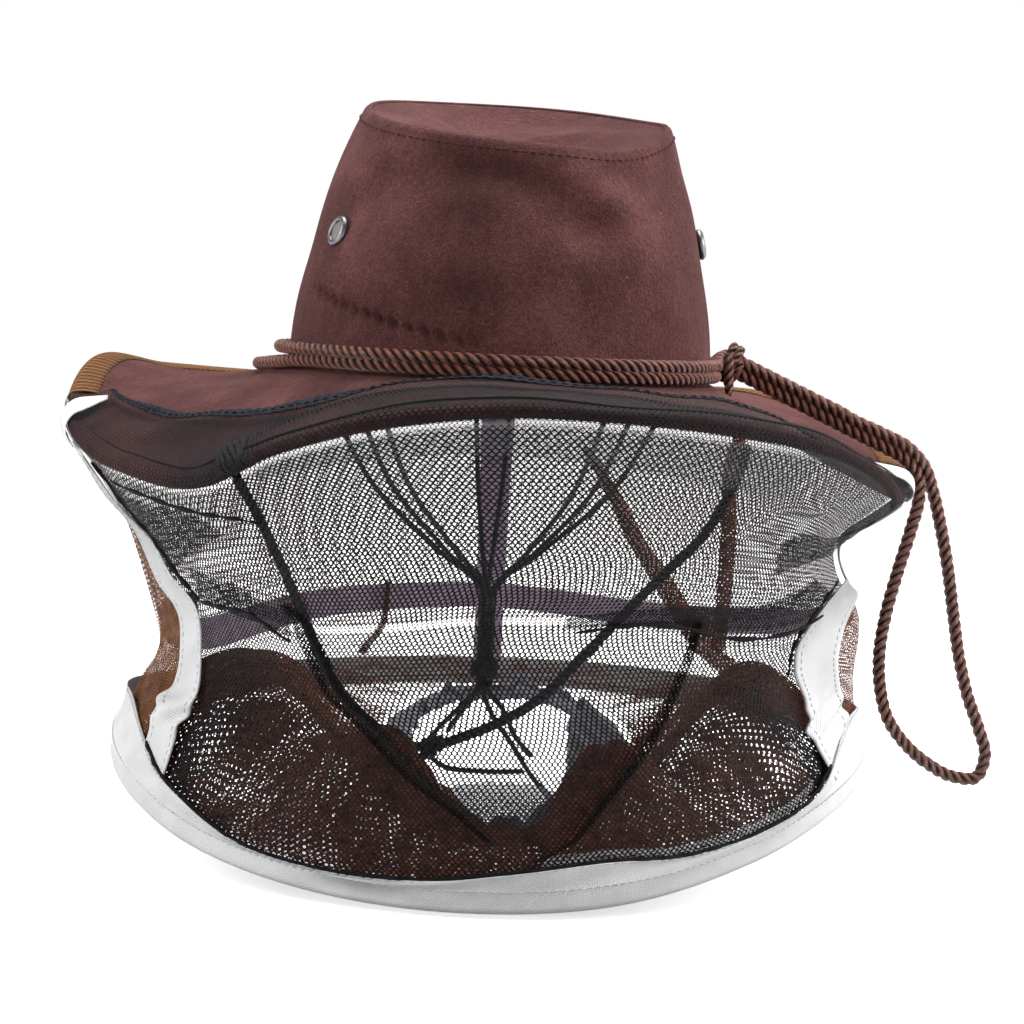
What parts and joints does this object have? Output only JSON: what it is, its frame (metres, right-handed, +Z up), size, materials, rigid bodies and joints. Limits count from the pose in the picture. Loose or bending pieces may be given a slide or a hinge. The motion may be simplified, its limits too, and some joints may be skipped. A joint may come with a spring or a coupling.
{
  "type": "beekeeping veil",
  "caption": "Beekeeping hat veil: a suede-cloth crown and brim with a corded band, a black net face window edged in white tape, brown net sides, a stiff hoop and an elastic neck hem.",
  "frame": {"origin": "centre of the head opening, on the plane where the crown meets the brim", "axes": "+Z up along the crown, the face window looks along -Y, +X is to the right of someone who faces the hat"},
  "size_m": [0.4068, 0.391, 0.3231],
  "materials": {
    "suede": "brushed suede cloth, soft nap",
    "suede_under": "brushed suede cloth, soft nap",
    "black_net": "open knitted mesh",
    "brown_net": "open knitted mesh, gathered",
    "white_tape": "woven twill tape, stitched",
    "grey_ribbon": "woven ribbon",
    "band_cord": "satin three-strand twist",
    "black_cord": "three-strand twist",
    "nickel": "nickel plate, satin",
    "spring_steel": "plain wire",
    "elastic": "covered elastic",
    "sweat_cotton": "woven cotton"
  },
  "bodies": {
    "veil": {"back_seam_ribbon": "grey_ribbon", "band_cord": "band_cord", "band_loop": "band_cord", "brim_binding": "brown_net", "brim_top": "suede", "brim_under": "suede_under", "brim_wire": "spring_steel", "chin_cord_left": "black_cord", "chin_cord_right": "black_cord", "chin_knot": "black_cord", "chin_tab_left": "grey_ribbon", "chin_tab_right": "grey_ribbon", "crown_side": "suede", "crown_top": "suede", "eyelet_washer_1": "nickel", "eyelet_washer_2": "nickel", "eyelet_washer_3": "nickel", "eyelet_washer_4": "nickel", "front_window_net": "black_net", "hoop_tape": "white_tape", "hoop_wire": "spring_steel", "mid_ribbon": "grey_ribbon", "neck_elastic": "elastic", "neck_hem": "grey_ribbon", "neck_skirt": "brown_net", "net_brim_cover": "black_net", "side_net_left": "brown_net", "side_net_right": "brown_net", "sweatband": "sweat_cotton", "tie_cord_1": "black_cord", "tie_cord_2": "black_cord", "tie_cord_3": "black_cord", "tie_cord_4": "black_cord", "tie_cord_5": "black_cord", "tie_cord_6": "black_cord", "tie_cord_7": "black_cord", "tie_cord_8": "black_cord", "vent_eyelet_1": "nickel", "vent_eyelet_2": "nickel", "vent_eyelet_3": "nickel", "vent_eyelet_4": "nickel", "window_tape_left": "white_tape", "window_tape_right": "white_tape"},
    "band_knot": {"band_knot": "band_cord", "band_cord_end": "band_cord"},
    "cord_tie": {"cord_tie": "black_cord"}
  },
  "joints": [
    {"name": "band_knot_slide", "type": "slide", "parent": "veil", "child": "band_knot", "axis": [0.9135, 0, -0.4068], "range_m": [0, 0.025]},
    {"name": "cord_tie_slide", "type": "slide", "parent": "veil", "child": "cord_tie", "axis": [0, 0, 1], "range_m": [0, 0.02]}
  ]
}
